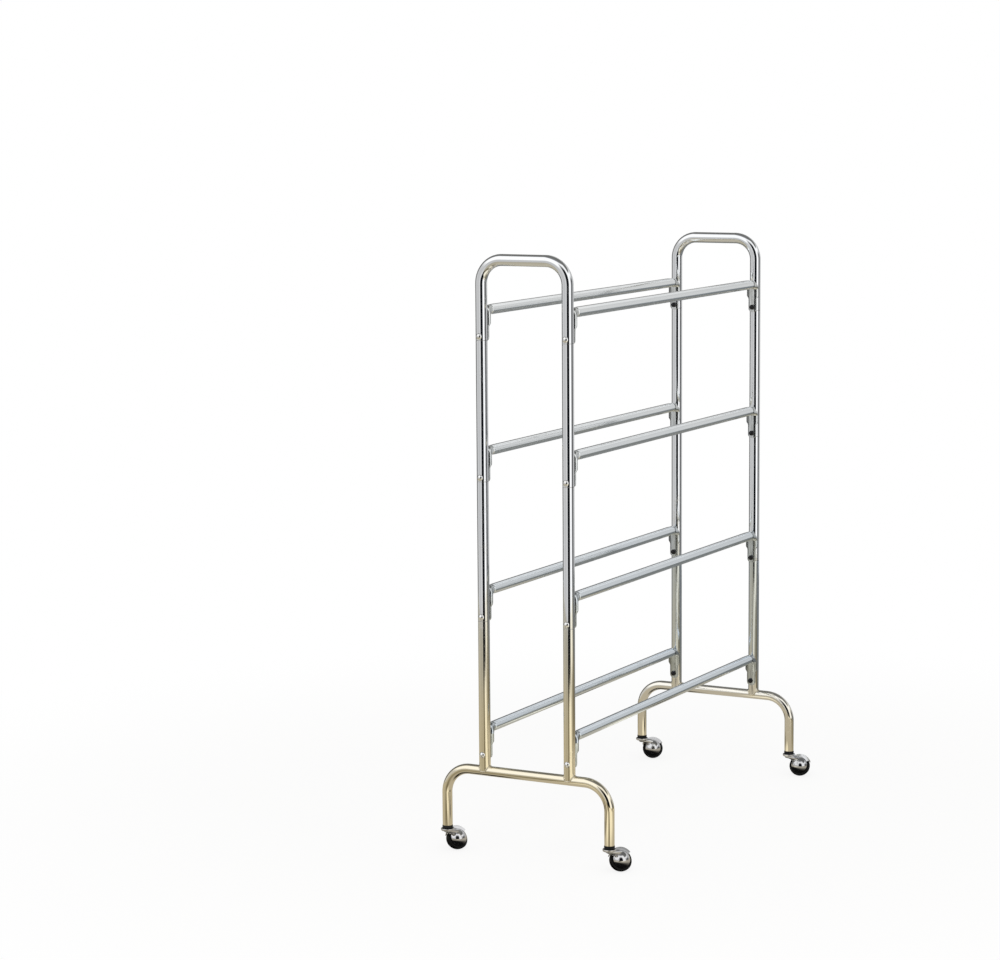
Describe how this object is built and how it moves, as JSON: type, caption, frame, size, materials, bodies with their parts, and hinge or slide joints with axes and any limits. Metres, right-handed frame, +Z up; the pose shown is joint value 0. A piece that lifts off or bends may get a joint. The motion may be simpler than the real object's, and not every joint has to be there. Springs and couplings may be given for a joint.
{
  "type": "ball cart",
  "caption": "Rolling ball cart: bent-tube end frames joined by pairs of bolted rails, one pair above another, that hold rows of balls, on swivelling ball casters with tilted wheels.",
  "frame": {"origin": "on the floor, below the middle of the cart's bounding box", "axes": "+Z up; +X along the rails, from the front end frame to the rear one; +Y across the cart, towards its left side"},
  "size_m": [1.0566, 0.4652, 1.3207],
  "materials": {
    "bright_chrome": "bright chrome plate on round steel tube, with a fine haze of handling",
    "warm_chrome": "bright chrome plate with a warm straw tint, on round steel tube",
    "pale_steel": "cool pale plated steel, a little less glossy than the posts",
    "zinc_plate": "bright zinc plate",
    "socket_plastic": "black moulded plastic",
    "hood_chrome": "bright chrome on a die-cast hood",
    "core_plastic": "black moulded plastic",
    "tyre_rubber": "black rubber tread, lightly scuffed where it rolls"
  },
  "bodies": {
    "frame": {"front_base_frame": "warm_chrome", "front_top_hoop": "bright_chrome", "front_left_lower_post": "bright_chrome", "front_left_upper_post": "bright_chrome", "tier_1_front_left_bolt": "zinc_plate", "tier_2_front_left_bolt": "zinc_plate", "tier_3_front_left_bolt": "zinc_plate", "tier_4_front_left_bolt": "zinc_plate", "front_left_caster_socket": "socket_plastic", "front_left_caster_stem": "zinc_plate", "front_right_lower_post": "bright_chrome", "front_right_upper_post": "bright_chrome", "tier_1_front_right_bolt": "zinc_plate", "tier_2_front_right_bolt": "zinc_plate", "tier_3_front_right_bolt": "zinc_plate", "tier_4_front_right_bolt": "zinc_plate", "front_right_caster_socket": "socket_plastic", "front_right_caster_stem": "zinc_plate", "rear_base_frame": "warm_chrome", "rear_top_hoop": "bright_chrome", "rear_left_lower_post": "bright_chrome", "rear_left_upper_post": "bright_chrome", "tier_1_rear_left_bolt": "zinc_plate", "tier_2_rear_left_bolt": "zinc_plate", "tier_3_rear_left_bolt": "zinc_plate", "tier_4_rear_left_bolt": "zinc_plate", "rear_left_caster_socket": "socket_plastic", "rear_left_caster_stem": "zinc_plate", "rear_right_lower_post": "bright_chrome", "rear_right_upper_post": "bright_chrome", "tier_1_rear_right_bolt": "zinc_plate", "tier_2_rear_right_bolt": "zinc_plate", "tier_3_rear_right_bolt": "zinc_plate", "tier_4_rear_right_bolt": "zinc_plate", "rear_right_caster_socket": "socket_plastic", "rear_right_caster_stem": "zinc_plate", "tier_1_left_rail": "pale_steel", "tier_1_right_rail": "pale_steel", "tier_2_left_rail": "pale_steel", "tier_2_right_rail": "pale_steel", "tier_3_left_rail": "pale_steel", "tier_3_right_rail": "pale_steel", "tier_4_left_rail": "pale_steel", "tier_4_right_rail": "pale_steel"},
    "front_left_swivel": {"front_left_caster_hood": "hood_chrome", "front_left_caster_axle": "zinc_plate"},
    "front_right_swivel": {"front_right_caster_hood": "hood_chrome", "front_right_caster_axle": "zinc_plate"},
    "rear_left_swivel": {"rear_left_caster_hood": "hood_chrome", "rear_left_caster_axle": "zinc_plate"},
    "rear_right_swivel": {"rear_right_caster_hood": "hood_chrome", "rear_right_caster_axle": "zinc_plate"},
    "front_left_wheel": {"front_left_wheel_core": "core_plastic", "front_left_tyre": "tyre_rubber"},
    "front_right_wheel": {"front_right_wheel_core": "core_plastic", "front_right_tyre": "tyre_rubber"},
    "rear_left_wheel": {"rear_left_wheel_core": "core_plastic", "rear_left_tyre": "tyre_rubber"},
    "rear_right_wheel": {"rear_right_wheel_core": "core_plastic", "rear_right_tyre": "tyre_rubber"}
  },
  "joints": [
    {"name": "front_left_caster_turn", "type": "hinge", "parent": "frame", "child": "front_left_swivel", "pos_m": [-0.51176, 0.21716, 0.0484], "axis": [0, 0, 1], "continuous": true},
    {"name": "front_left_wheel_spin", "type": "hinge", "parent": "front_left_swivel", "child": "front_left_wheel", "pos_m": [-0.48673, 0.20704, 0.025], "axis": [0.3244, 0.803, -0.5], "continuous": true},
    {"name": "front_right_caster_turn", "type": "hinge", "parent": "frame", "child": "front_right_swivel", "pos_m": [-0.51176, -0.17984, 0.0484], "axis": [0, 0, 1], "continuous": true},
    {"name": "front_right_wheel_spin", "type": "hinge", "parent": "front_right_swivel", "child": "front_right_wheel", "pos_m": [-0.4902, -0.19609, 0.025], "axis": [0.5212, 0.6916, -0.5], "continuous": true},
    {"name": "rear_left_caster_turn", "type": "hinge", "parent": "frame", "child": "rear_left_swivel", "pos_m": [0.48824, 0.21716, 0.0484], "axis": [0, 0, 1], "continuous": true},
    {"name": "rear_left_wheel_spin", "type": "hinge", "parent": "rear_left_swivel", "child": "rear_left_wheel", "pos_m": [0.50294, 0.19451, 0.025], "axis": [0.7263, 0.4717, -0.5], "continuous": true},
    {"name": "rear_right_caster_turn", "type": "hinge", "parent": "frame", "child": "rear_right_swivel", "pos_m": [0.48824, -0.17984, 0.0484], "axis": [0, 0, 1], "continuous": true},
    {"name": "rear_right_wheel_spin", "type": "hinge", "parent": "rear_right_swivel", "child": "rear_right_wheel", "pos_m": [0.49199, -0.20658, 0.025], "axis": [0.8576, 0.1205, -0.5], "continuous": true}
  ]
}
